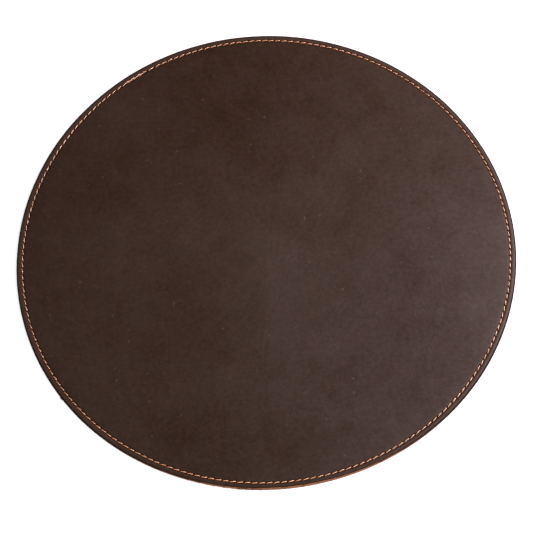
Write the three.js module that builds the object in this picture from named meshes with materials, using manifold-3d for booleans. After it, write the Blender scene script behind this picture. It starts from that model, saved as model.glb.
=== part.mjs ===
// Round leather mouse pad: one disc of waxed cowhide with a lockstitch seam sewn round its rim.
// Millimetres, +Z up. The underside lies on z = 0 and the disc turns about the Z axis.

import * as THREE from 'three';
import { mergeGeometries, mergeVertices } from 'three/addons/utils/BufferGeometryUtils.js';
import Module from 'manifold-3d';

// Disc of hide
const padDiameter = 260;
const hideThickness = 2;
const topEdgeRounding = 0.3;
const bottomEdgeBevel = 0.2;
const rimFacets = 96;
const roundingFacets = 2;

// Line of stitches
const seamInset = 2.9; // from the cut edge to the seam line
const stitchLength = 3.6; // a whole number of stitches of about this length goes round
const seamStart = 116; // degrees from +X, the hole where both threads begin and end

// Needle thread on top and bobbin thread below
const threadDiameter = 0.5;
const threadInHole = 0.36; // the thread is squeezed to this diameter inside a hole
const threadGap = 0.05; // clearance between thread and thread, and thread and hide
const threadEndGap = 0.2; // between the two cut ends of a thread
const threadCrossing = 74; // degrees at which the two threads hook over each other in a hole
const threadFacets = 4;

// Furrows that the seam is pulled into
const topFurrowDepth = 0.3;
const furrowMargin = 0.15; // floor of a furrow beside each hole
const furrowSlope = 0.25; // width of a furrow's sloping side

const padRadius = padDiameter / 2;
const seamRadius = padRadius - seamInset;
const stitchCount = Math.round((2 * Math.PI * seamRadius) / stitchLength);
const stitchAngle = (2 * Math.PI) / stitchCount;
const threadRadius = threadDiameter / 2;
const squeezedRadius = threadInHole / 2;

// In each hole a thread goes down one leg and up another. The legs of the needle thread and of the
// bobbin thread stand on crossing lines, so each thread passes through the other one's loop.
const crossing = THREE.MathUtils.degToRad(threadCrossing);
const legReach = (threadRadius + squeezedRadius + threadGap) / Math.sin(crossing);
const legAlong = legReach * Math.cos(crossing / 2);
const legAcross = legReach * Math.sin(crossing / 2);
const holeAlong = 2 * (legAlong + threadRadius + threadGap);
const holeAcross = 2 * (legAcross + threadRadius + threadGap);

// Heights of the threads' centre lines. The bobbin thread stays clear of the desk.
const needleRun = hideThickness - topFurrowDepth + threadGap + threadRadius;
const bobbinRun = threadGap + threadRadius;
const bottomFurrowDepth = threadDiameter + 2 * threadGap;
const lockMiddle = (needleRun + bobbinRun) / 2;
const lockOffset = squeezedRadius + threadGap / 2;

const wasm = await Module();
wasm.setup();

// A closed geometry as a solid that can be cut.
function solidOf(geometry) {
  const bare = geometry.clone();
  bare.deleteAttribute('normal');
  bare.deleteAttribute('uv');
  const merged = mergeVertices(bare);
  const corners = merged.index.array;
  const triangles = [];
  for (let i = 0; i < corners.length; i += 3) {
    const [a, b, c] = corners.subarray(i, i + 3);
    if (a !== b && b !== c && c !== a) triangles.push(a, b, c);
  }
  const mesh = new wasm.Mesh({
    numProp: 3,
    vertProperties: merged.attributes.position.array,
    triVerts: new Uint32Array(triangles),
  });
  return new wasm.Manifold(mesh);
}

function geometryOf(solid) {
  const { vertProperties, triVerts } = solid.getMesh();
  const geometry = new THREE.BufferGeometry();
  geometry.setAttribute('position', new THREE.BufferAttribute(vertProperties, 3));
  geometry.setIndex(new THREE.BufferAttribute(triVerts, 1));
  geometry.computeVertexNormals();
  return geometry;
}

// Half the width of a furrow at its floor and at its mouth.
const furrowFloor = holeAcross / 2 + furrowMargin;
const furrowMouth = furrowFloor + furrowSlope;

// The disc turned from its profile: flat underside, cut edge, rounded upper corner, flat top,
// and a furrow on each face along the seam.
function discBlank() {
  const profile = new THREE.Path();
  profile.moveTo(0, 0);
  profile.lineTo(seamRadius - furrowMouth, 0);
  profile.lineTo(seamRadius - furrowFloor, bottomFurrowDepth);
  profile.lineTo(seamRadius + furrowFloor, bottomFurrowDepth);
  profile.lineTo(seamRadius + furrowMouth, 0);
  profile.lineTo(padRadius - bottomEdgeBevel, 0);
  profile.lineTo(padRadius, bottomEdgeBevel);
  profile.lineTo(padRadius, hideThickness - topEdgeRounding);
  profile.absarc(
    padRadius - topEdgeRounding,
    hideThickness - topEdgeRounding,
    topEdgeRounding,
    0,
    Math.PI / 2,
  );
  profile.lineTo(seamRadius + furrowMouth, hideThickness);
  profile.lineTo(seamRadius + furrowFloor, hideThickness - topFurrowDepth);
  profile.lineTo(seamRadius - furrowFloor, hideThickness - topFurrowDepth);
  profile.lineTo(seamRadius - furrowMouth, hideThickness);
  profile.lineTo(0, hideThickness);
  const blank = new THREE.LatheGeometry(profile.getPoints(roundingFacets), rimFacets);
  return blank.rotateX(Math.PI / 2);
}

// One needle hole for each stitch, longer along the seam than across it.
function needleHoles() {
  const holes = [];
  for (let hole = 0; hole < stitchCount; hole += 1) {
    const cutter = new THREE.BoxGeometry(holeAcross, holeAlong, 2 * hideThickness);
    cutter.translate(seamRadius, 0, hideThickness / 2);
    cutter.rotateZ(seamAngle(hole));
    holes.push(cutter);
  }
  return mergeGeometries(holes);
}

function seamAngle(hole) {
  return THREE.MathUtils.degToRad(seamStart) + hole * stitchAngle;
}

// A point near a hole: along the seam (anticlockwise), across it (outward) and up.
function seamPoint(hole, along, across, height) {
  const angle = seamAngle(hole) + along / seamRadius;
  const radius = seamRadius + across;
  return new THREE.Vector3(radius * Math.cos(angle), radius * Math.sin(angle), height);
}

const up = new THREE.Vector3(0, 0, 1);

// A thread's section at a bend of its path. It lies in the mitre of the bend, which is in the
// upright plane of the heading: lean is -1 where the thread leaves a hole, 1 where it enters one
// and 0 at a cut end. Face is 1 for the top of the pad and -1 for the underside.
function threadSection(centre, heading, lean, radius, face) {
  const aside = new THREE.Vector3().crossVectors(up, heading);
  const outward = up.clone().multiplyScalar(face).addScaledVector(heading, lean);
  const section = [];
  for (let corner = 0; corner < threadFacets; corner += 1) {
    const turn = Math.PI / 2 + (2 * Math.PI * corner) / threadFacets;
    const point = centre.clone();
    point.addScaledVector(aside, radius * Math.cos(turn));
    point.addScaledVector(outward, radius * Math.sin(turn));
    section.push(point);
  }
  return section;
}

// One whole thread: out of a hole, along its face of the pad, into the next hole and through the
// other thread's loop, all the way round, with both cut ends in the first hole.
function threadSections(run, lock, face) {
  const across = face * legAcross;
  const headingAt = (from, to) => to.clone().sub(from).setZ(0).normalize();
  const sections = [];
  const addEnd = (hole, side) => {
    const middle = seamPoint(hole, 0, 0, lock);
    const heading = headingAt(
      seamPoint(hole, -legAlong, -across, lock),
      seamPoint(hole, legAlong, across, lock),
    );
    middle.addScaledVector(heading, (side * threadEndGap) / 2);
    sections.push(threadSection(middle, heading, 0, squeezedRadius, face));
  };
  addEnd(0, 1);
  for (let hole = 0; hole < stitchCount; hole += 1) {
    const next = hole + 1;
    const out = seamPoint(hole, legAlong, across, run);
    const back = seamPoint(next, -legAlong, -across, run);
    const outLock = seamPoint(hole, legAlong, across, lock);
    const backLock = seamPoint(next, -legAlong, -across, lock);
    const stitchHeading = headingAt(out, back);
    const outHeading = headingAt(seamPoint(hole, -legAlong, -across, lock), outLock);
    const backHeading = headingAt(backLock, seamPoint(next, legAlong, across, lock));
    sections.push(
      threadSection(outLock, outHeading, -1, squeezedRadius, face),
      threadSection(out, stitchHeading, -1, threadRadius, face),
      threadSection(back, stitchHeading, 1, threadRadius, face),
      threadSection(backLock, backHeading, 1, squeezedRadius, face),
    );
  }
  addEnd(stitchCount, -1);
  return sections;
}

// A skin over the sections, with a cap on each cut end.
function threadGeometry(run, lock, face) {
  const sections = threadSections(run, lock, face);
  const triangles = [];
  const addTriangle = (a, b, c) => triangles.push(...(face > 0 ? [a, b, c] : [a, c, b]));
  const last = (sections.length - 1) * threadFacets;
  for (let corner = 1; corner < threadFacets - 1; corner += 1) {
    addTriangle(0, corner + 1, corner);
    addTriangle(last, last + corner, last + corner + 1);
  }
  for (let start = 0; start < last; start += threadFacets) {
    for (let corner = 0; corner < threadFacets; corner += 1) {
      const a = start + corner;
      const b = start + ((corner + 1) % threadFacets);
      addTriangle(a, b, a + threadFacets);
      addTriangle(b, b + threadFacets, a + threadFacets);
    }
  }
  const geometry = new THREE.BufferGeometry().setFromPoints(sections.flat());
  geometry.setIndex(triangles);
  geometry.computeVertexNormals();
  return geometry;
}

const hide = new THREE.MeshStandardMaterial({ color: 0x46342d, roughness: 0.5, metalness: 0 });
const thread = new THREE.MeshStandardMaterial({ color: 0xd0803f, roughness: 0.6, metalness: 0 });

const sewnDisc = solidOf(discBlank()).subtract(solidOf(needleHoles()));
const leatherDisc = new THREE.Mesh(geometryOf(sewnDisc), hide);
leatherDisc.name = 'leather_disc';

const needleThread = new THREE.Mesh(
  threadGeometry(needleRun, lockMiddle - lockOffset, 1),
  thread,
);
needleThread.name = 'needle_thread';

const bobbinThread = new THREE.Mesh(
  threadGeometry(bobbinRun, lockMiddle + lockOffset, -1),
  thread,
);
bobbinThread.name = 'bobbin_thread';

const mousePad = new THREE.Group();
mousePad.name = 'mouse_pad';
mousePad.add(leatherDisc, needleThread, bobbinThread);

export default mousePad;
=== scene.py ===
import math

import bpy
from mathutils import Matrix, Vector, noise


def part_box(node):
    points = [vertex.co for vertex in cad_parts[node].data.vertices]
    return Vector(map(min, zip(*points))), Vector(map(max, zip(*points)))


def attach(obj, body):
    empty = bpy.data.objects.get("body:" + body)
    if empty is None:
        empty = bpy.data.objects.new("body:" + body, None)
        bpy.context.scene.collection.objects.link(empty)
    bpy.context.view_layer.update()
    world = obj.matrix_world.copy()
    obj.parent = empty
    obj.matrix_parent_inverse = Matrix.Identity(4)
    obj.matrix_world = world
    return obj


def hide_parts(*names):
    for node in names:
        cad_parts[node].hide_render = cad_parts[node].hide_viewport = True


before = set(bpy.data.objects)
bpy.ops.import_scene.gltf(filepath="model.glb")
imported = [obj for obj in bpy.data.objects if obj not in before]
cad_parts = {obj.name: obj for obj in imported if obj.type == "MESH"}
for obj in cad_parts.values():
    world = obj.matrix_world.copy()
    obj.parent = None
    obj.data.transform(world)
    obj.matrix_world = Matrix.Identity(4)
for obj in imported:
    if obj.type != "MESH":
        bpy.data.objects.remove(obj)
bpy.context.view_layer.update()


# Disc of hide
# One disc of waxed cowhide, cut by hand with a blade and left raw at the edge, grain side up. The tight
# seam pulls a furrow into both faces, with a pit at every needle hole.

MM = 0.001
hide_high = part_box("leather_disc")[1]
flat_radius = hide_high.x
hide_thickness = hide_high.z
seam_inset = 2.9 * MM
seam_radius = flat_radius - seam_inset
seam_start = math.radians(116.4)
stitch_count = 222
stitch_angle = 2 * math.pi / stitch_count
stitch_length = seam_radius * stitch_angle
feed_once, feed_once_turn = 0.297 * stitch_angle, math.radians(30.8)
feed_thrice, feed_thrice_turn = 0.191 * stitch_angle, math.radians(62.3)

pad_radius = flat_radius + 0.2 * MM
lobe_height = 0.40 * MM
lobe_turn = math.radians(96)
seam_drift = Vector((0.01, -0.12, 0)) * MM
cut_wander = 0.12 * MM
cut_roughness = 0.07 * MM
cut_slant = 0.2 * MM
slip_turn = math.radians(271)
slip_reach = math.radians(16)
slip_depth = 0.65 * MM
slip_pivot = 0.35
frayed_turn = math.radians(257)
frayed_reach = math.radians(6)
frayed_extra = 4
rough_clump, rough_strand = 1.1 * MM, 0.43 * MM
top_corner = 0.25 * MM
bottom_corner = 0.2 * MM
rim_fall = 0.15 * MM
top_furrow = 0.27 * MM
bottom_furrow = 0.55 * MM
furrow_width = 0.85 * MM
pit_depth = 0.5 * MM
pit_length = 1.0 * MM
pit_width = 0.78 * MM
pit_turn = math.radians(30)
bottom_pit_depth = 0.4 * pit_depth
swell_height = 0.3 * MM
swell_broad, swell_narrow = 55 * MM, 17 * MM
seam_band = 1.0 * MM
rim_band = 1.6 * MM
inner_rim, outer_rim = seam_radius - rim_band, seam_radius + rim_band
corner_middle = pad_radius - cut_slant / 2 - top_corner
middle_radius = 3 * MM


def near_turn(angle, turn, reach):
    """1 in a direction from the centre, fading to 0 on either side of it."""
    off = (angle - turn + math.pi) % (2 * math.pi) - math.pi
    return math.exp(-((off / reach) ** 2))


def stray(radius, height, angle):
    """How far out of true the hide is: three soft lobes, the seam off centre, and the hand-cut edge."""
    outward = Vector((math.cos(angle), math.sin(angle), 0))
    lobes = lobe_height * math.cos(3 * (angle - lobe_turn))
    to_edge = min(1, max(0, (radius - outer_rim) / (corner_middle - outer_rim)))
    slip = slip_depth * near_turn(angle, slip_turn, slip_reach)
    cut = cut_wander * noise.noise(outward * 4) - slip * (height / hide_thickness - slip_pivot)
    drifted = lobes + seam_drift.dot(outward) * (1 - to_edge)
    return (radius / pad_radius) ** 2 * drifted + cut * to_edge


def feed(angle):
    """How far the holes run ahead of even spacing, as the hand turns the pad under the needle."""
    once = feed_once * math.cos(angle - feed_once_turn)
    return once + feed_thrice * math.cos(3 * (angle - feed_thrice_turn))


def near_seam(radius):
    return math.exp(-(((radius - seam_radius) / furrow_width) ** 2))


def near_hole(radius, angle):
    """1 in a needle hole, 0 away from it: an oval on the slant that the two threads take there."""
    stitch = ((angle - feed(angle) - seam_start) / stitch_angle + 0.5) % 1 - 0.5
    along, across = stitch * stitch_length, radius - seam_radius
    lengthwise = along * math.cos(pit_turn) + across * math.sin(pit_turn)
    crosswise = across * math.cos(pit_turn) - along * math.sin(pit_turn)
    return math.exp(-((2 * lengthwise / pit_length) ** 4) - (2 * crosswise / pit_width) ** 4)


def swell(x, y):
    """How far the hide lifts off the desk: inside the seam it never lies quite flat."""
    spot = Vector((x, y, 0))
    inside = max(0, 1 - (spot.length / pad_radius) ** 6)
    broad = noise.noise(spot / swell_broad)
    narrow = noise.noise(spot / swell_narrow + Vector((0, 0, 9)))
    return swell_height * inside * (0.5 + 0.35 * broad + 0.12 * narrow)


def top_point(radius, angle):
    fall = top_furrow * near_seam(radius) + pit_depth * near_hole(radius, angle)
    fall += rim_fall * max(0, (radius - outer_rim) / (corner_middle - outer_rim))
    return radius, hide_thickness - fall


def bottom_point(radius, angle):
    return radius, bottom_furrow * near_seam(radius) + bottom_pit_depth * near_hole(radius, angle)


def edge_point(height, angle):
    spot = Vector((math.cos(angle), math.sin(angle), 0)) * pad_radius + Vector((0, 0, height))
    rough = noise.noise(spot / rough_clump) + 0.6 * noise.noise(spot / rough_strand)
    rough *= cut_roughness * (1 + frayed_extra * near_turn(angle, frayed_turn, frayed_reach))
    return pad_radius + cut_slant * (0.5 - height / hide_thickness) + rough, height


def spread(start, stop, steps):
    return [start + (stop - start) * step / steps for step in range(steps)]


def ring_angles(per_stitch):
    """Angles of the points round a ring, crowded together at the needle holes."""
    crowding = 0.6
    angles = []
    for step in range(stitch_count * per_stitch):
        even = step / per_stitch
        crowded = even - crowding * math.sin(2 * math.pi * even) / (2 * math.pi)
        spaced = seam_start + crowded * stitch_angle
        angles.append(spaced + feed(spaced))
    return angles


GRAIN, CUT, FLESH = range(3)
coarse, medium, fine = 2, 6, 12
face_rings, inner_rim_rings, furrow_rings, outer_rim_rings = 22, 2, 12, 3
corner_rings, cut_rings, seam_rings_below, face_rings_below = 4, 6, 9, 10
furrow_start, furrow_stop = seam_radius - seam_band, seam_radius + seam_band
rings = []
for radius in spread(middle_radius, inner_rim, face_rings):
    rings.append((coarse, lambda a, r=radius: top_point(r, a), GRAIN))
for radius in spread(inner_rim, furrow_start, inner_rim_rings):
    rings.append((medium, lambda a, r=radius: top_point(r, a), GRAIN))
for radius in spread(furrow_start, furrow_stop, furrow_rings) + [furrow_stop]:
    rings.append((fine, lambda a, r=radius: top_point(r, a), GRAIN))
for radius in spread(outer_rim, corner_middle, outer_rim_rings):
    rings.append((medium, lambda a, r=radius: top_point(r, a), GRAIN))
cut_top = hide_thickness - rim_fall - top_corner
for step in range(corner_rings):
    turn = math.pi / 2 * (1 - step / corner_rings)
    radius = corner_middle + top_corner * math.cos(turn)
    height = cut_top + top_corner * math.sin(turn)
    rings.append((medium if step == 0 else fine, lambda a, r=radius, h=height: (r, h), GRAIN))
for height in spread(cut_top, bottom_corner, cut_rings) + [bottom_corner]:
    rings.append((fine, lambda a, h=height: edge_point(h, a), CUT))
bottom_edge = pad_radius + cut_slant / 2 - bottom_corner
rings.append((medium, lambda a: (bottom_edge, 0), CUT))
for radius in spread(outer_rim, inner_rim, seam_rings_below) + [inner_rim]:
    rings.append((medium, lambda a, r=radius: bottom_point(r, a), FLESH))
for radius in spread(inner_rim, middle_radius, face_rings_below)[1:] + [middle_radius]:
    rings.append((coarse, lambda a, r=radius: bottom_point(r, a), FLESH))

points, faces, face_finish, edge_run, sewn = [], [], [], [], []


def add_point(radius, height, angle):
    placed = radius + stray(radius, height, angle)
    x, y = placed * math.cos(angle), placed * math.sin(angle)
    points.append((x, y, height + swell(x, y)))
    edge_run.append((angle * pad_radius / MM, height / MM, 0))
    sewn.append((near_seam(radius), near_hole(radius, angle), (pad_radius - radius) / MM))
    return len(points) - 1


def add_faces(near, far, finish):
    """Joins a ring to the next one, which has as many points or a whole multiple either way."""
    if len(near) > len(far):
        add_faces(far[::-1], near[::-1], finish)
        return
    fan = len(far) // len(near)
    for i, here in enumerate(near):
        after = near[(i + 1) % len(near)]
        row = [far[(i * fan + j) % len(far)] for j in range(fan + 1)]
        if fan == 1:
            faces.append((here, row[0], row[1], after))
        else:
            faces.append((here, row[fan // 2], after))
            faces.extend((here if j < fan // 2 else after, row[j], row[j + 1]) for j in range(fan))
    face_finish.extend([finish] * (len(faces) - len(face_finish)))


ring_points = []
for per_stitch, ring_place, finish in rings:
    ring_points.append([add_point(*ring_place(angle), angle) for angle in ring_angles(per_stitch)])
for near, far, (per_stitch, ring_place, finish) in zip(ring_points, ring_points[1:], rings[1:]):
    add_faces(near, far, finish)
for middle, ring, finish in (
    (add_point(0, hide_thickness, 0), ring_points[0], GRAIN),
    (add_point(0, 0, 0), ring_points[-1][::-1], FLESH),
):
    faces.extend((middle, here, ring[(i + 1) % len(ring)]) for i, here in enumerate(ring))
    face_finish.extend([finish] * len(ring))

hide_mesh = bpy.data.meshes.new("hide")
hide_mesh.from_pydata(points, [], faces)
hide_mesh.polygons.foreach_set("material_index", face_finish)
hide_mesh.polygons.foreach_set("use_smooth", [True] * len(faces))
for name, vectors in (("edge_run", edge_run), ("sewn", sewn)):
    attribute = hide_mesh.attributes.new(name, "FLOAT_VECTOR", "POINT")
    attribute.data.foreach_set("vector", [number for vector in vectors for number in vector])
hide = bpy.data.objects.new("hide", hide_mesh)
bpy.context.scene.collection.objects.link(hide)


def add_node(tree, kind, inputs=None, **settings):
    """A node with its settings, and its inputs set to values or joined to other nodes' outputs."""
    made = tree.nodes.new(kind)
    for name, value in settings.items():
        setattr(made, name, value)
    for name, value in (inputs or {}).items():
        if isinstance(value, bpy.types.NodeSocket):
            tree.links.new(value, made.inputs[name])
        else:
            made.inputs[name].default_value = value
    return made


def new_finish(name):
    """A bare material: its node tree, its surface shader and a position in millimetres."""
    material = bpy.data.materials.new(name)
    material.use_nodes = True
    tree = material.node_tree
    coordinate = add_node(tree, "ShaderNodeTexCoord").outputs["Object"]
    place = scaled(tree, coordinate, 1 / MM)
    return material, tree, tree.nodes["Principled BSDF"], place


def scaled(tree, vector, factor):
    made = add_node(tree, "ShaderNodeVectorMath", {0: vector, "Scale": factor}, operation="SCALE")
    return made.outputs["Vector"]


def calc(tree, operation, first, second=0.0, third=0.0):
    made = add_node(tree, "ShaderNodeMath", {0: first, 1: second, 2: third}, operation=operation)
    return made.outputs["Value"]


def fade(tree, value, start, stop, low=0.0, high=1.0):
    """A smooth step from low, where the value is at start, to high, where it is at stop."""
    made = add_node(
        tree,
        "ShaderNodeMapRange",
        {"Value": value, "From Min": start, "From Max": stop, "To Min": low, "To Max": high},
        interpolation_type="SMOOTHSTEP",
    )
    return made.outputs["Result"]


def split(tree, vector):
    return add_node(tree, "ShaderNodeSeparateXYZ", {"Vector": vector}).outputs


def noise_node(tree, place, size, detail=3, rough=0.55, bend=0.0):
    """Soft noise whose largest features are about that many millimetres across."""
    return add_node(
        tree,
        "ShaderNodeTexNoise",
        {"Vector": place, "Scale": 1 / size, "Detail": detail, "Roughness": rough, "Distortion": bend},
    )


def noise_value(*settings):
    return noise_node(*settings).outputs["Fac"]


def jostle(tree, place, size, reach):
    """The place shifted to and fro by noise, up to about half that reach."""
    push = noise_node(tree, place, size, 2).outputs["Color"]
    made = add_node(
        tree,
        "ShaderNodeVectorMath",
        {0: push, 1: (reach, reach, reach), 2: place},
        operation="MULTIPLY_ADD",
    )
    return made.outputs["Vector"]


def stretch(tree, place, factors, turn=0.0):
    inputs = {"Vector": place, "Scale": factors, "Rotation": (0, 0, turn)}
    return add_node(tree, "ShaderNodeMapping", inputs).outputs["Vector"]


def shift(tree, place, turn, offset):
    inputs = {"Vector": place, "Rotation": (0, 0, turn), "Location": offset}
    return add_node(tree, "ShaderNodeMapping", inputs).outputs["Vector"]


def toward(tree, place, turn):
    """Cosine of the angle, seen from above, between a place and a direction from the centre."""
    flat = add_node(tree, "ShaderNodeVectorMath", {0: place, 1: (1, 1, 0)}, operation="MULTIPLY")
    outward = add_node(tree, "ShaderNodeVectorMath", {0: flat.outputs["Vector"]}, operation="NORMALIZE")
    inputs = {0: outward.outputs["Vector"], 1: (math.cos(turn), math.sin(turn), 0)}
    return add_node(tree, "ShaderNodeVectorMath", inputs, operation="DOT_PRODUCT").outputs["Value"]


def sum_up(tree, start, *shares):
    """The start with each weight times its value added."""
    for weight, value in shares:
        start = calc(tree, "MULTIPLY_ADD", value, weight, start)
    return start


def blend_colour(tree, factor, below, above):
    made = add_node(tree, "ShaderNodeMix", data_type="RGBA")
    for index, value in ((0, factor), (6, below), (7, above)):
        if isinstance(value, bpy.types.NodeSocket):
            tree.links.new(value, made.inputs[index])
        else:
            made.inputs[index].default_value = value if index == 0 else (*value, 1)
    return made.outputs[2]


def cell_edge(tree, place, size):
    """Distance to the nearest border of cells about that many millimetres across."""
    inputs = {"Vector": place, "Scale": 1 / size}
    return add_node(tree, "ShaderNodeTexVoronoi", inputs, feature="DISTANCE_TO_EDGE").outputs["Distance"]


def bump(tree, height, depth, under=None):
    inputs = {"Height": height, "Distance": depth * MM, "Strength": 1.0}
    if under is not None:
        inputs["Normal"] = under
    return add_node(tree, "ShaderNodeBump", inputs).outputs["Normal"]


# The grain side is dyed dark brown and stuffed with oil and wax, which gather in soft clouds. Its skin
# has fine creased cells and pores, and the wax pales where the hide was nicked or scratched. The paler
# band on the rim is partly the hide pulled pale by the seam and partly a painted highlight.

grain, tree, shader, place = new_finish("waxed grain")
clouds = noise_value(tree, shift(tree, place, math.radians(230), (-260, -652, 225)), 75, 2, 0.5)
drift = noise_value(tree, shift(tree, place, math.radians(340), (-1068, -1624, 156)), 26, 2, 0.5)
mottle = noise_value(tree, place, 9, 2, 0.5)
pebble = noise_value(tree, place, 2.4, 3, 0.8)
wax = sum_up(tree, -0.835, (0.80, clouds), (0.55, drift), (0.25, mottle), (0.88, pebble))
base = blend_colour(tree, wax, (0.0208, 0.0079, 0.0018), (0.0468, 0.0268, 0.0174))
blush = noise_value(tree, stretch(tree, place, (1, 0.8, 1), 1.1), 4, 3, 0.6)
base = blend_colour(tree, fade(tree, blush, 0.44, 0.68, 0, 0.25), base, (0.0430, 0.0172, 0.0084))
skin_cells = cell_edge(tree, jostle(tree, place, 0.8, 0.7), 0.75)
base = blend_colour(tree, fade(tree, skin_cells, 0.0, 0.10, 0.1, 0), base, (0.0180, 0.0080, 0.0043))
scratch = fade(tree, cell_edge(tree, jostle(tree, place, 45, 70), 58), 0.0, 0.0045, 1, 0)
scratched = fade(tree, noise_value(tree, place, 21, 3), 0.54, 0.66, 0, 0.12)
scratch = calc(tree, "MULTIPLY", scratch, scratched)
base = blend_colour(tree, scratch, base, (0.130, 0.082, 0.060))
nick_spacing = 8
nicks = add_node(
    tree,
    "ShaderNodeTexVoronoi",
    {"Vector": jostle(tree, place, 1.5, 2.6), "Scale": 1 / nick_spacing},
    voronoi_dimensions="2D",
)
nick = fade(tree, nicks.outputs["Distance"], 0.02, 0.09, 1, 0)
nicked = fade(tree, split(tree, nicks.outputs["Color"])["X"], 0.80, 1.00, 0, 0.40)
nick = calc(tree, "MULTIPLY", nick, nicked)
base = blend_colour(tree, nick, base, (0.130, 0.092, 0.075))
sewn_in = split(tree, add_node(tree, "ShaderNodeAttribute", attribute_name="sewn").outputs["Vector"])
furrow_shade, pitted, from_edge = sewn_in["X"], sewn_in["Y"], sewn_in["Z"]
bare_lit_turn = math.radians(275)
bare_and_lit = fade(tree, toward(tree, place, bare_lit_turn), 0.50, 0.95)
# Paler band on the rim between seam and edge, weaker on the near side: partly the hide pulled pale by
# the seam, partly a painted highlight on the rounded rim.
pale_rim_and_highlight = fade(tree, from_edge, 1.6, 2.5, 0.42, 0)
pale_rim_and_highlight = calc(tree, "MULTIPLY", fade(tree, from_edge, 0.5, 0.9), pale_rim_and_highlight)
pale_rim_and_highlight = calc(tree, "MULTIPLY", pale_rim_and_highlight, sum_up(tree, 1, (-0.8, bare_and_lit)))
base = blend_colour(tree, pale_rim_and_highlight, base, (0.0660, 0.0340, 0.0225))
# Painted shade in the seam furrow beside the thread.
base = blend_colour(tree, fade(tree, furrow_shade, 0.10, 0.70, 0, 0.62), base, (0.0140, 0.0061, 0.0034))
corner = fade(tree, from_edge, 0.3, 0.8, 0.92, 0)
corner = calc(tree, "MULTIPLY", corner, sum_up(tree, 1, (-0.75, bare_and_lit)))
base = blend_colour(tree, corner, base, (0.0090, 0.0043, 0.0028))
# Painted shade: the needle holes are painted near black.
base = blend_colour(tree, fade(tree, pitted, 0.05, 0.5, 0, 0.95), base, (0.0030, 0.0014, 0.0009))
tree.links.new(base, shader.inputs["Base Color"])
dull = sum_up(tree, 0.46, (0.14, blush), (0.4, fade(tree, pitted, 0.05, 0.5)))
tree.links.new(dull, shader.inputs["Roughness"])
shine = sum_up(tree, 0.16, (0.27, wax), (0.15, pale_rim_and_highlight))
shine = calc(tree, "MULTIPLY", shine, fade(tree, from_edge, 0.3, 0.8))
tree.links.new(shine, shader.inputs["Specular IOR Level"])
buckle = bump(tree, noise_value(tree, place, 9, 3, 0.5), 0.14)
wrinkle = bump(tree, noise_value(tree, stretch(tree, place, (1, 0.6, 1), 0.5), 3, 2, 0.5), 0.04, buckle)
creased = fade(tree, blush, 0.35, 0.65, 0.3, 1)
creased = calc(tree, "MULTIPLY", fade(tree, skin_cells, 0.0, 0.22), creased)
cells = bump(tree, creased, 0.007, wrinkle)
pores = bump(tree, noise_value(tree, place, 0.3, 2), 0.006, cells)
tree.links.new(pores, shader.inputs["Normal"])

# The raw cut shows the undyed middle of the hide, a tan mat of fibres lying along the edge. Dye and wax
# have soaked into it from the grain side, darkening it toward the top, and round the sides turned away
# from the near side it is painted darker still, as painted shade; it stays tan on the near side, where
# the blade slipped.

cut, tree, shader, place = new_finish("raw cut edge")
run = add_node(tree, "ShaderNodeAttribute", attribute_name="edge_run").outputs["Vector"]
strands = noise_value(tree, stretch(tree, run, (0.55, 1, 1)), 0.22, 4, 0.7)
layers = noise_value(tree, stretch(tree, run, (0.12, 1, 1)), 0.6, 3, 0.6)
blotch = noise_value(tree, place, 5, 4, 0.6)
matted = sum_up(tree, -0.1, (0.8, strands), (0.4, layers))
base = blend_colour(tree, fade(tree, matted, 0.3, 0.7), (0.250, 0.090, 0.042), (0.520, 0.225, 0.118))
base = blend_colour(tree, fade(tree, blotch, 0.42, 0.66, 0, 0.70), base, (0.150, 0.052, 0.026))
# Toward the near side and the frayed patch the edge keeps its tan; elsewhere it is painted darker,
# partly dye soaked in and partly painted shade on the sides the lamps light less.
bare_and_lit = fade(tree, toward(tree, place, bare_lit_turn), 0.74, 0.98)
frayed_bare = fade(tree, toward(tree, place, frayed_turn), 0.78, 0.98, 0, 0.7)
bare_and_lit = calc(tree, "MAXIMUM", bare_and_lit, frayed_bare)
soaked_and_shaded = sum_up(tree, split(tree, run)["Y"], (-2.1, bare_and_lit), (1.2, blotch), (0.7, strands))
base = blend_colour(tree, fade(tree, soaked_and_shaded, 0.45, 0.80), base, (0.0460, 0.0180, 0.0095))
tree.links.new(base, shader.inputs["Base Color"])
shader.inputs["Roughness"].default_value = 0.9
shader.inputs["Specular IOR Level"].default_value = 0.2
tree.links.new(bump(tree, matted, 0.16), shader.inputs["Normal"])

# The flesh side is shaved and left napped, like suede: short brown fibres brushed in patches.

flesh, tree, shader, place = new_finish("napped flesh side")
brushed = noise_value(tree, place, 34, 4, 0.6, 0.7)
nap = noise_value(tree, stretch(tree, place, (1, 0.35, 1), 0.6), 0.9, 4, 0.7)
tufts = noise_value(tree, place, 3.2, 4, 0.65)
base = blend_colour(tree, fade(tree, brushed, 0.35, 0.65), (0.095, 0.055, 0.036), (0.15, 0.091, 0.061))
base = blend_colour(tree, fade(tree, tufts, 0.40, 0.70, 0, 0.5), base, (0.075, 0.042, 0.027))
base = blend_colour(tree, fade(tree, nap, 0.40, 0.72, 0, 0.55), base, (0.21, 0.135, 0.093))
tree.links.new(base, shader.inputs["Base Color"])
shader.inputs["Roughness"].default_value = 0.95
shader.inputs["Specular IOR Level"].default_value = 0.2
shader.inputs["Sheen Weight"].default_value = 0.25
shader.inputs["Sheen Roughness"].default_value = 0.5
tree.links.new(bump(tree, nap, 0.12, bump(tree, tufts, 0.16)), shader.inputs["Normal"])

for finish in (grain, cut, flesh):
    hide_mesh.materials.append(finish)
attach(hide, "root")
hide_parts("leather_disc")


# Loose fibres of the cut edge
# The blade leaves the ends of the hide's own fibres standing out of the raw edge, singly and in tufts.
# Each is a fine bent strand, rooted in the cut face.

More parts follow.
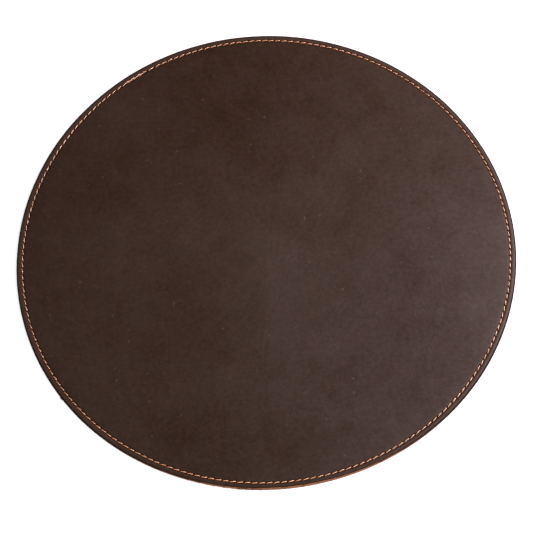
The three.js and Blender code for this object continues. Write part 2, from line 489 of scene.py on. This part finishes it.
fibre_length = 0.30 * MM
fibre_radius = 0.014 * MM
fibres_each_square_metre = 16e6
lowest_root = 0.55 * MM
tuft_turns = [math.radians(turn) for turn in (212.7, 259.4, 261.0)]


def new_tree(name, sockets):
    """A geometry tree with named inputs: the tree and its input sockets by name."""
    tree = bpy.data.node_groups.new(name, "GeometryNodeTree")
    for label, kind in sockets:
        tree.interface.new_socket(label, in_out="INPUT", socket_type="NodeSocket" + kind)
    tree.interface.new_socket("Geometry", in_out="OUTPUT", socket_type="NodeSocketGeometry")
    given = tree.nodes.new("NodeGroupInput")
    return tree, {label: given.outputs[label] for label, kind in sockets}


def finish_tree(tree, geometry, material):
    whole = add_node(tree, "GeometryNodeRealizeInstances", {"Geometry": geometry})
    smooth = add_node(tree, "GeometryNodeSetShadeSmooth", {"Geometry": whole.outputs["Geometry"]})
    painted = add_node(
        tree,
        "GeometryNodeSetMaterial",
        {"Geometry": smooth.outputs["Geometry"], "Material": material},
    )
    result = tree.nodes.new("NodeGroupOutput")
    tree.links.new(painted.outputs["Geometry"], result.inputs["Geometry"])


def chance(tree, seed, low, high, which=None):
    """A random number between low and high for each point, or for each value of which."""
    inputs = {"Seed": seed} if which is None else {"Seed": seed, "ID": which}
    made = add_node(tree, "FunctionNodeRandomValue", inputs, data_type="FLOAT")
    made.inputs[2].default_value = low
    made.inputs[3].default_value = high
    return made.outputs[1]


def grow(name, mesh, tree, values):
    """An object whose mesh is what the tree makes of the given mesh, with no modifier left on it."""
    made = bpy.data.objects.new(name, mesh)
    bpy.context.scene.collection.objects.link(made)
    modifier = made.modifiers.new("making", "NODES")
    modifier.node_group = tree
    for item in tree.interface.items_tree:
        if item.in_out == "INPUT" and item.name in values:
            modifier[item.identifier] = values[item.name]
    evaluated = made.evaluated_get(bpy.context.evaluated_depsgraph_get())
    plain = bpy.data.meshes.new_from_object(evaluated)
    made.modifiers.clear()
    made.data = plain
    plain.name = name
    return made


edge_fuzz, given = new_tree(
    "edge fuzz",
    (
        ("Hide", "Geometry"),
        ("Cut Face", "Int"),
        ("Density", "Float"),
        ("Fibre Length", "Float"),
        ("Fibre Radius", "Float"),
        ("Lowest Root", "Float"),
        ("Seed", "Int"),
        ("Material", "Material"),
    ),
)
tree = edge_fuzz
here = add_node(tree, "GeometryNodeInputPosition").outputs["Position"]
face_kind = add_node(tree, "GeometryNodeInputMaterialIndex").outputs["Material Index"]
on_cut = calc(tree, "COMPARE", face_kind, given["Cut Face"], 0.5)
high_enough = calc(tree, "GREATER_THAN", split(tree, here)["Z"], given["Lowest Root"])
tuft_size = 3.5
tufted = noise_value(tree, scaled(tree, here, 1 / MM), tuft_size, 2, 0.5)
frayed = fade(tree, toward(tree, here, frayed_turn), 0.96, 0.995, 0, 0.12)
loose_tuft = 0.0
for turn in tuft_turns:
    in_tuft = fade(tree, toward(tree, here, turn), 0.99997, 0.999995)
    loose_tuft = calc(tree, "MAXIMUM", loose_tuft, in_tuft)
tufted = sum_up(tree, tufted, (1.0, frayed), (1.0, loose_tuft))
thick = sum_up(tree, fade(tree, tufted, 0.45, 0.68, 0.05, 1), (3.0, loose_tuft))
roots = add_node(
    tree,
    "GeometryNodeDistributePointsOnFaces",
    {
        "Mesh": given["Hide"],
        "Selection": calc(tree, "MULTIPLY", on_cut, high_enough),
        "Density": calc(tree, "MULTIPLY", given["Density"], thick),
        "Seed": given["Seed"],
    },
)
stem = add_node(tree, "GeometryNodeCurvePrimitiveLine", {"End": (0, 0, 1)})
stem = add_node(tree, "GeometryNodeResampleCurve", {"Curve": stem.outputs["Curve"], "Count": 4})
up_stem = add_node(tree, "GeometryNodeSplineParameter").outputs["Factor"]
curl = add_node(
    tree,
    "ShaderNodeCombineXYZ",
    {
        "X": calc(tree, "MULTIPLY", calc(tree, "POWER", up_stem, 2), 0.9),
        "Z": calc(tree, "SUBTRACT", up_stem, 0.15),
    },
)
curl_place = scaled(tree, curl.outputs["Vector"], given["Fibre Length"])
bent_stem = add_node(
    tree,
    "GeometryNodeSetPosition",
    {"Geometry": stem.outputs["Curve"], "Position": curl_place},
)
strand_round = add_node(
    tree,
    "GeometryNodeCurvePrimitiveCircle",
    {"Resolution": 3, "Radius": given["Fibre Radius"]},
)
strand = add_node(
    tree,
    "GeometryNodeCurveToMesh",
    {
        "Curve": bent_stem.outputs["Geometry"],
        "Profile Curve": strand_round.outputs["Curve"],
        "Scale": fade(tree, up_stem, 0, 1, 1, 0.35),
        "Fill Caps": True,
    },
)
lean = add_node(
    tree,
    "ShaderNodeCombineXYZ",
    {
        "X": chance(tree, calc(tree, "ADD", given["Seed"], 1), -0.7, 0.7),
        "Y": chance(tree, calc(tree, "ADD", given["Seed"], 2), -0.5, 0.5),
        "Z": chance(tree, calc(tree, "ADD", given["Seed"], 3), -math.pi, math.pi),
    },
)
leaning = add_node(tree, "FunctionNodeEulerToRotation", {"Euler": lean.outputs["Vector"]})
turned = add_node(
    tree,
    "FunctionNodeRotateRotation",
    {"Rotation": roots.outputs["Rotation"], "Rotate By": leaning.outputs["Rotation"]},
    rotation_space="LOCAL",
)
long_few = calc(tree, "POWER", chance(tree, calc(tree, "ADD", given["Seed"], 4), 0, 1), 3)
long_some = chance(tree, calc(tree, "ADD", given["Seed"], 5), 0.2, 1.2)
above_desk = calc(tree, "DIVIDE", split(tree, here)["Z"], given["Fibre Length"])
grown = sum_up(tree, 0.35, (0.8, long_few), (calc(tree, "MULTIPLY", loose_tuft, 2.6), long_some))
grown = calc(tree, "MINIMUM", grown, calc(tree, "MULTIPLY", above_desk, 0.85))
fineness = calc(tree, "MULTIPLY", calc(tree, "SQRT", grown), 0.7)
strand_size = add_node(tree, "ShaderNodeCombineXYZ", {"X": grown, "Y": fineness, "Z": grown})
strands_placed = add_node(
    tree,
    "GeometryNodeInstanceOnPoints",
    {
        "Points": roots.outputs["Points"],
        "Instance": strand.outputs["Mesh"],
        "Rotation": turned.outputs["Rotation"],
        "Scale": strand_size.outputs["Vector"],
    },
)
finish_tree(tree, strands_placed.outputs["Instances"], given["Material"])

fibre, tree, shader, place = new_finish("loose hide fibre")
shade = noise_value(tree, place, 0.8, 2, 0.6)
base = blend_colour(tree, fade(tree, shade, 0.35, 0.65), (0.200, 0.080, 0.040), (0.520, 0.250, 0.140))
# Painted shade: like the cut edge, the fibres are darkened everywhere but on the near side.
bare_and_lit = fade(tree, toward(tree, place, bare_lit_turn), 0.64, 0.95)
base = blend_colour(tree, bare_and_lit, (0.0600, 0.0290, 0.0180), base)
tree.links.new(base, shader.inputs["Base Color"])
shader.inputs["Roughness"].default_value = 0.8
shader.inputs["Specular IOR Level"].default_value = 0.3

fuzz = grow(
    "edge_fibres",
    hide_mesh.copy(),
    edge_fuzz,
    {
        "Cut Face": CUT,
        "Density": fibres_each_square_metre,
        "Fibre Length": fibre_length,
        "Fibre Radius": fibre_radius,
        "Lowest Root": lowest_root,
        "Seed": 21,
        "Material": fibre,
    },
)
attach(fuzz, "root")


# Sewing threads
# A machine lockstitch in orange bonded thread of three twisted plies. The needle thread lies on the
# grain side and the bobbin thread below, and the two hook over each other inside every needle hole.

thread_radius = 0.215 * MM
thread_lay = 3.4 * MM
leg_across = 0.28 * MM
hole_share = 0.055
bend_share = 0.12
sewn_twice = 3
second_row = 0.44 * MM
second_shift = 0.45 * stitch_angle
needle_run = 1.82 * MM
needle_bow = 0.2 * MM
bobbin_run = 0.36 * MM
bobbin_bow = -0.06 * MM
lock_height = 0.78 * MM
lock_offset = 0.2 * MM
lean_spread = 0.07 * MM
sway_spread = 0.06 * MM
foot_end, bend_end, run_end = 1, 5, 7

lockstitch, given = new_tree(
    "lockstitch thread",
    (
        ("Stitches", "Int"),
        ("Sewn Twice", "Int"),
        ("Steps", "Int"),
        ("Seam Radius", "Float"),
        ("Seam Start", "Float"),
        ("Seam Drift", "Vector"),
        ("Feed Once", "Float"),
        ("Feed Once Turn", "Float"),
        ("Feed Thrice", "Float"),
        ("Feed Thrice Turn", "Float"),
        ("Lobe Height", "Float"),
        ("Lobe Turn", "Float"),
        ("Run Height", "Float"),
        ("Lock Height", "Float"),
        ("Bow", "Float"),
        ("Leg Across", "Float"),
        ("Hole Share", "Float"),
        ("Bend Share", "Float"),
        ("Second Row", "Float"),
        ("Second Shift", "Float"),
        ("Thread Radius", "Float"),
        ("Seed", "Int"),
        ("Material", "Material"),
    ),
)
tree = lockstitch
all_stitches = calc(tree, "ADD", given["Stitches"], given["Sewn Twice"])
line = add_node(tree, "GeometryNodeCurvePrimitiveLine")
path = add_node(
    tree,
    "GeometryNodeResampleCurve",
    {
        "Curve": line.outputs["Curve"],
        "Count": calc(tree, "MULTIPLY_ADD", all_stitches, given["Steps"], 1),
    },
)
index = add_node(tree, "GeometryNodeInputIndex").outputs["Index"]
sewn_so_far = calc(tree, "DIVIDE", index, given["Steps"])
stitch = calc(tree, "FLOOR", sewn_so_far)
even = calc(tree, "FRACT", sewn_so_far)
to_nearer_end = calc(tree, "MINIMUM", even, calc(tree, "SUBTRACT", 1, even))
steps_in = calc(tree, "MULTIPLY", to_nearer_end, given["Steps"])
foot, bend, run = (
    add_node(
        tree,
        "ShaderNodeMapRange",
        {"Value": steps_in, "From Min": start, "From Max": stop},
    ).outputs["Result"]
    for start, stop in ((0, foot_end), (foot_end, bend_end), (bend_end, run_end))
)
bend_turn = calc(tree, "MULTIPLY", bend, math.pi / 2)
bent_along = calc(tree, "SUBTRACT", 1, calc(tree, "COSINE", bend_turn))
run_start = calc(tree, "ADD", given["Hole Share"], given["Bend Share"])
from_hole = calc(tree, "MULTIPLY", foot, given["Hole Share"])
from_hole = calc(tree, "MULTIPLY_ADD", bent_along, given["Bend Share"], from_hole)
from_hole = calc(tree, "MULTIPLY_ADD", run, calc(tree, "SUBTRACT", 0.5, run_start), from_hole)
coming_back = calc(tree, "GREATER_THAN", even, 0.5)
turned_back = calc(tree, "MULTIPLY_ADD", from_hole, -2, 1)
phase = calc(tree, "MULTIPLY_ADD", coming_back, turned_back, from_hole)
rise = calc(tree, "SUBTRACT", given["Run Height"], given["Lock Height"])
height = calc(tree, "MULTIPLY_ADD", calc(tree, "SINE", bend_turn), rise, given["Lock Height"])
arched = calc(tree, "MULTIPLY", run, calc(tree, "SUBTRACT", 2, run))
seeds = [calc(tree, "ADD", given["Seed"], salt) for salt in range(4)]
bow = calc(tree, "MULTIPLY", given["Bow"], chance(tree, seeds[0], 0.7, 1.3, stitch))
height = calc(tree, "MULTIPLY_ADD", arched, bow, height)
slant = calc(tree, "MULTIPLY", foot, calc(tree, "MULTIPLY_ADD", phase, -2, 1))
lean = chance(tree, seeds[1], -lean_spread, lean_spread, stitch)
lean = calc(tree, "ADD", given["Leg Across"], lean)
across = calc(tree, "MULTIPLY", slant, lean)
first_end = calc(tree, "ADD", given["Sewn Twice"], 0.9)
last_start = calc(tree, "SUBTRACT", given["Stitches"], 0.9)
first_row = fade(tree, sewn_so_far, given["Sewn Twice"], first_end, -0.5, 0)
last_row = fade(tree, sewn_so_far, last_start, given["Stitches"], 0, 0.5)
across = calc(tree, "MULTIPLY_ADD", calc(tree, "ADD", first_row, last_row), given["Second Row"], across)
sway = chance(tree, seeds[2], -sway_spread, sway_spread, stitch)
across = calc(tree, "MULTIPLY_ADD", arched, sway, across)
step_angle = calc(tree, "DIVIDE", 2 * math.pi, given["Stitches"])
spaced = calc(tree, "MULTIPLY_ADD", calc(tree, "ADD", stitch, phase), step_angle, given["Seam Start"])
long_feed = fade(tree, sewn_so_far, calc(tree, "SUBTRACT", given["Stitches"], 3), given["Stitches"])
spaced = calc(tree, "MULTIPLY_ADD", long_feed, given["Second Shift"], spaced)


def wave(tree, angle, times, turn):
    swing = calc(tree, "MULTIPLY", calc(tree, "SUBTRACT", angle, turn), times)
    return calc(tree, "COSINE", swing)


once = wave(tree, spaced, 1, given["Feed Once Turn"])
angle = calc(tree, "MULTIPLY_ADD", once, given["Feed Once"], spaced)
thrice = wave(tree, spaced, 3, given["Feed Thrice Turn"])
angle = calc(tree, "MULTIPLY_ADD", thrice, given["Feed Thrice"], angle)
lobes = wave(tree, angle, 3, given["Lobe Turn"])
across = calc(tree, "MULTIPLY_ADD", lobes, given["Lobe Height"], across)
radius = calc(tree, "ADD", given["Seam Radius"], across)
place = add_node(
    tree,
    "ShaderNodeCombineXYZ",
    {
        "X": calc(tree, "MULTIPLY", radius, calc(tree, "COSINE", angle)),
        "Y": calc(tree, "MULTIPLY", radius, calc(tree, "SINE", angle)),
        "Z": height,
    },
)
sewn_path = add_node(
    tree,
    "GeometryNodeSetPosition",
    {
        "Geometry": path.outputs["Curve"],
        "Position": place.outputs["Vector"],
        "Offset": given["Seam Drift"],
    },
)
length = add_node(tree, "GeometryNodeSplineParameter").outputs["Length"]
kept_path = add_node(tree, "GeometryNodeCaptureAttribute", {"Geometry": sewn_path.outputs["Geometry"]})
for name, value in (("Length", length), ("Arch", from_hole)):
    kept_path.capture_items.new("FLOAT", name)
    tree.links.new(value, kept_path.inputs[name])
thread_round = add_node(
    tree,
    "GeometryNodeCurvePrimitiveCircle",
    {"Resolution": 8, "Radius": given["Thread Radius"]},
)
here = add_node(tree, "GeometryNodeInputPosition").outputs["Position"]
kept_round = add_node(tree, "GeometryNodeCaptureAttribute", {"Geometry": thread_round.outputs["Curve"]})
kept_round.capture_items.new("VECTOR", "Round")
tree.links.new(here, kept_round.inputs["Round"])
squeeze = fade(tree, bend, 0.2, 1.0, 0.85, 1)
squeeze = calc(tree, "ADD", squeeze, chance(tree, seeds[3], -0.05, 0.05, stitch))
swept = add_node(
    tree,
    "GeometryNodeCurveToMesh",
    {
        "Curve": kept_path.outputs["Geometry"],
        "Profile Curve": kept_round.outputs["Geometry"],
        "Scale": squeeze,
        "Fill Caps": True,
    },
)
flat_round = split(tree, kept_round.outputs["Round"])
lay_place = add_node(
    tree,
    "ShaderNodeCombineXYZ",
    {"X": kept_path.outputs["Length"], "Y": flat_round["X"], "Z": flat_round["Y"]},
)
marked = add_node(
    tree,
    "GeometryNodeStoreNamedAttribute",
    {"Geometry": swept.outputs["Mesh"], "Name": "lay", "Value": lay_place.outputs["Vector"]},
    data_type="FLOAT_VECTOR",
    domain="POINT",
)
facing = split(tree, add_node(tree, "GeometryNodeInputNormal").outputs["Normal"])["Z"]
arch_and_facing = add_node(tree, "ShaderNodeCombineXYZ", {"X": kept_path.outputs["Arch"], "Y": facing})
marked = add_node(
    tree,
    "GeometryNodeStoreNamedAttribute",
    {"Geometry": marked.outputs["Geometry"], "Name": "arch_and_facing", "Value": arch_and_facing.outputs["Vector"]},
    data_type="FLOAT_VECTOR",
    domain="POINT",
)
finish_tree(tree, marked.outputs["Geometry"], given["Material"])

# The plies are spun from fine bright filaments bonded with a clear coat, deep orange where they enter
# the hide. The top of each stitch carries a painted highlight, and its ends and the grooves between
# plies carry painted shade.

orange, tree, shader, place = new_finish("orange bonded thread")
faded_lit_turn = math.radians(215)
highlight_turn = math.radians(143)
end_shade_turn = math.radians(20)
lay = add_node(tree, "ShaderNodeAttribute", attribute_name="lay").outputs["Vector"]
arch_and_facing = split(tree, add_node(tree, "ShaderNodeAttribute", attribute_name="arch_and_facing").outputs["Vector"])
arch, facing = arch_and_facing["X"], calc(tree, "ABSOLUTE", arch_and_facing["Y"])
laid = split(tree, lay)
around = calc(tree, "ARCTAN2", laid["Z"], laid["Y"])
winding = sum_up(tree, calc(tree, "MULTIPLY", around, 1.5), (3 * math.pi / thread_lay, laid["X"]))
ply = calc(tree, "ABSOLUTE", calc(tree, "COSINE", winding))
filaments = noise_value(tree, stretch(tree, scaled(tree, lay, 1 / MM), (0.25, 1, 1)), 0.07, 3, 0.6)
lots = noise_value(tree, place, 11, 3, 0.6)
# Painted highlight: pale colour on the upward-facing crown of each stitch, strongest toward the far left
# and near right of the seam.
highlight_side = calc(tree, "POWER", toward(tree, place, highlight_turn), 4)
painted_highlight = sum_up(tree, 0.15, (0.85, highlight_side), (0.2, lots))
painted_highlight = calc(tree, "MULTIPLY", painted_highlight, fade(tree, arch, 0.14, 0.34))
painted_highlight = calc(tree, "MULTIPLY", painted_highlight, fade(tree, facing, 0.30, 0.88))
spun = fade(tree, filaments, 0.3, 0.7)
fresh = blend_colour(tree, spun, (0.64, 0.180, 0.031), (0.82, 0.305, 0.078))
# Paler, brighter thread toward the lower left of the seam: partly faded thread, partly painted light
# standing in for light the lamps give less there.
faded_and_lit = blend_colour(tree, spun, (1.00, 0.320, 0.075), (1.00, 0.440, 0.145))
base = blend_colour(tree, fade(tree, toward(tree, place, faded_lit_turn), -0.9, 0.9), fresh, faded_and_lit)
base = blend_colour(tree, fade(tree, arch, 0.12, 0.30, 0.6, 0), base, (0.92, 0.195, 0.050))
base = blend_colour(tree, painted_highlight, base, (1.00, 0.700, 0.460))
# Painted shade in the grooves between the plies.
base = blend_colour(tree, fade(tree, ply, 0.0, 0.45, 0.5, 0), base, (0.300, 0.075, 0.015))
# Painted shade: each stitch is darkened near black at its ends, where it dives into the needle hole; the
# shade reaches further along the stitch toward the right of the seam.
end_shade_reach = fade(tree, toward(tree, place, end_shade_turn), 0.3, 0.9, 0.07, 0.21)
base = blend_colour(tree, fade(tree, arch, 0.01, end_shade_reach, 0.9, 0), base, (0.040, 0.012, 0.005))
tree.links.new(base, shader.inputs["Base Color"])
shader.inputs["Roughness"].default_value = 0.36
shader.inputs["IOR"].default_value = 2.1
shader.inputs["Specular IOR Level"].default_value = 1.0
shader.inputs["Specular Tint"].default_value = (1.0, 0.68, 0.48, 1)
shader.inputs["Coat Weight"].default_value = 1.0
shader.inputs["Coat Roughness"].default_value = 0.2
shader.inputs["Coat IOR"].default_value = 1.9
plies = bump(tree, fade(tree, ply, 0.0, 0.9), 0.055)
tree.links.new(bump(tree, filaments, 0.018, plies), shader.inputs["Normal"])

shared = {
    "Stitches": stitch_count,
    "Sewn Twice": sewn_twice,
    "Steps": 2 * run_end,
    "Seam Radius": seam_radius,
    "Seam Start": seam_start,
    "Seam Drift": seam_drift,
    "Feed Once": feed_once,
    "Feed Once Turn": feed_once_turn,
    "Feed Thrice": feed_thrice,
    "Feed Thrice Turn": feed_thrice_turn,
    "Lobe Height": lobe_height * (seam_radius / pad_radius) ** 2,
    "Lobe Turn": lobe_turn,
    "Hole Share": hole_share,
    "Bend Share": bend_share,
    "Second Row": second_row,
    "Second Shift": second_shift,
    "Thread Radius": thread_radius,
    "Material": orange,
}
needle_thread = grow(
    "sewn_needle_thread",
    bpy.data.meshes.new("needle path"),
    lockstitch,
    shared
    | {
        "Run Height": needle_run,
        "Lock Height": lock_height - lock_offset,
        "Bow": needle_bow,
        "Leg Across": leg_across,
        "Seed": 4,
    },
)
bobbin_thread = grow(
    "sewn_bobbin_thread",
    bpy.data.meshes.new("bobbin path"),
    lockstitch,
    shared
    | {
        "Run Height": bobbin_run,
        "Lock Height": lock_height + lock_offset,
        "Bow": bobbin_bow,
        "Leg Across": -leg_across,
        "Seed": 9,
    },
)
for sewn_thread, node in ((needle_thread, "needle_thread"), (bobbin_thread, "bobbin_thread")):
    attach(sewn_thread, "root")
    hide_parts(node)


# Studio
# A white sweep under the pad, one soft lamp close above the right side and a weaker one over the near
# side. The camera looks down at the pad from the near side with a long lens, turned a little.

floor_mesh = bpy.data.meshes.new("floor")
floor_reach = 6.0
floor_glow = 0.76
corners = [(-floor_reach, -floor_reach), (floor_reach, -floor_reach)]
corners += [(floor_reach, floor_reach), (-floor_reach, floor_reach)]
floor_mesh.from_pydata([(x, y, 0) for x, y in corners], [], [(0, 1, 2, 3)])
floor = bpy.data.objects.new("floor", floor_mesh)
bpy.context.scene.collection.objects.link(floor)
white = bpy.data.materials.new("white sweep")
white.use_nodes = True
tree = white.node_tree
shader = tree.nodes["Principled BSDF"]
shader.inputs["Base Color"].default_value = (0.6, 0.6, 0.6, 1)
shader.inputs["Roughness"].default_value = 1
shader.inputs["Specular IOR Level"].default_value = 0
rays = add_node(tree, "ShaderNodeLightPath").outputs
seen = calc(tree, "MAXIMUM", rays["Is Camera Ray"], rays["Is Glossy Ray"])
seen = calc(tree, "MAXIMUM", seen, rays["Is Transmission Ray"])
shader.inputs["Emission Color"].default_value = (1, 1, 1, 1)
tree.links.new(calc(tree, "MULTIPLY", seen, floor_glow), shader.inputs["Emission Strength"])
floor_mesh.materials.append(white)


def add_lamp(name, place, size, power, colour):
    lamp = bpy.data.lights.new(name, "AREA")
    lamp.shape = "DISK"
    lamp.size = size
    lamp.energy = power
    lamp.color = colour
    made = bpy.data.objects.new(name, lamp)
    made.location = place
    made.rotation_euler = (-Vector(place)).to_track_quat("-Z", "Y").to_euler()
    bpy.context.scene.collection.objects.link(made)


add_lamp("right lamp", (0.32, 0.08, 0.42), 0.36, 3.5, (1.0, 0.865, 0.91))
add_lamp("near lamp", (0.25, -1.10, 0.80), 1.4, 12.4, (1.0, 1.0, 1.0))

world = bpy.data.worlds.new("studio")
bpy.context.scene.world = world
world.use_nodes = True
world.node_tree.nodes["Background"].inputs["Color"].default_value = (1, 1, 1, 1)
world.node_tree.nodes["Background"].inputs["Strength"].default_value = 0.06

lens_pixels = 2300
picture_pixels = 533
camera_elevation = math.radians(65.04)
camera_turn = math.radians(-5.47)
camera_distance = 1197 * MM
camera_aim = Vector((0.12 * MM, -7.32 * MM, 0))
camera_data = bpy.data.cameras.new("camera")
camera_data.sensor_width = 36
camera_data.lens = camera_data.sensor_width * lens_pixels / picture_pixels
camera_data.clip_end = 20
camera = bpy.data.objects.new("camera", camera_data)
bpy.context.scene.collection.objects.link(camera)
sight = Vector((0, math.cos(camera_elevation), -math.sin(camera_elevation)))
tilt = Matrix.Rotation(math.pi / 2 - camera_elevation, 4, "X")
turn = Matrix.Rotation(camera_turn, 4, "Z")
camera.matrix_world = Matrix.Translation(camera_aim - sight * camera_distance) @ tilt @ turn
bpy.context.scene.camera = camera

bpy.context.scene.view_settings.view_transform = "Standard"
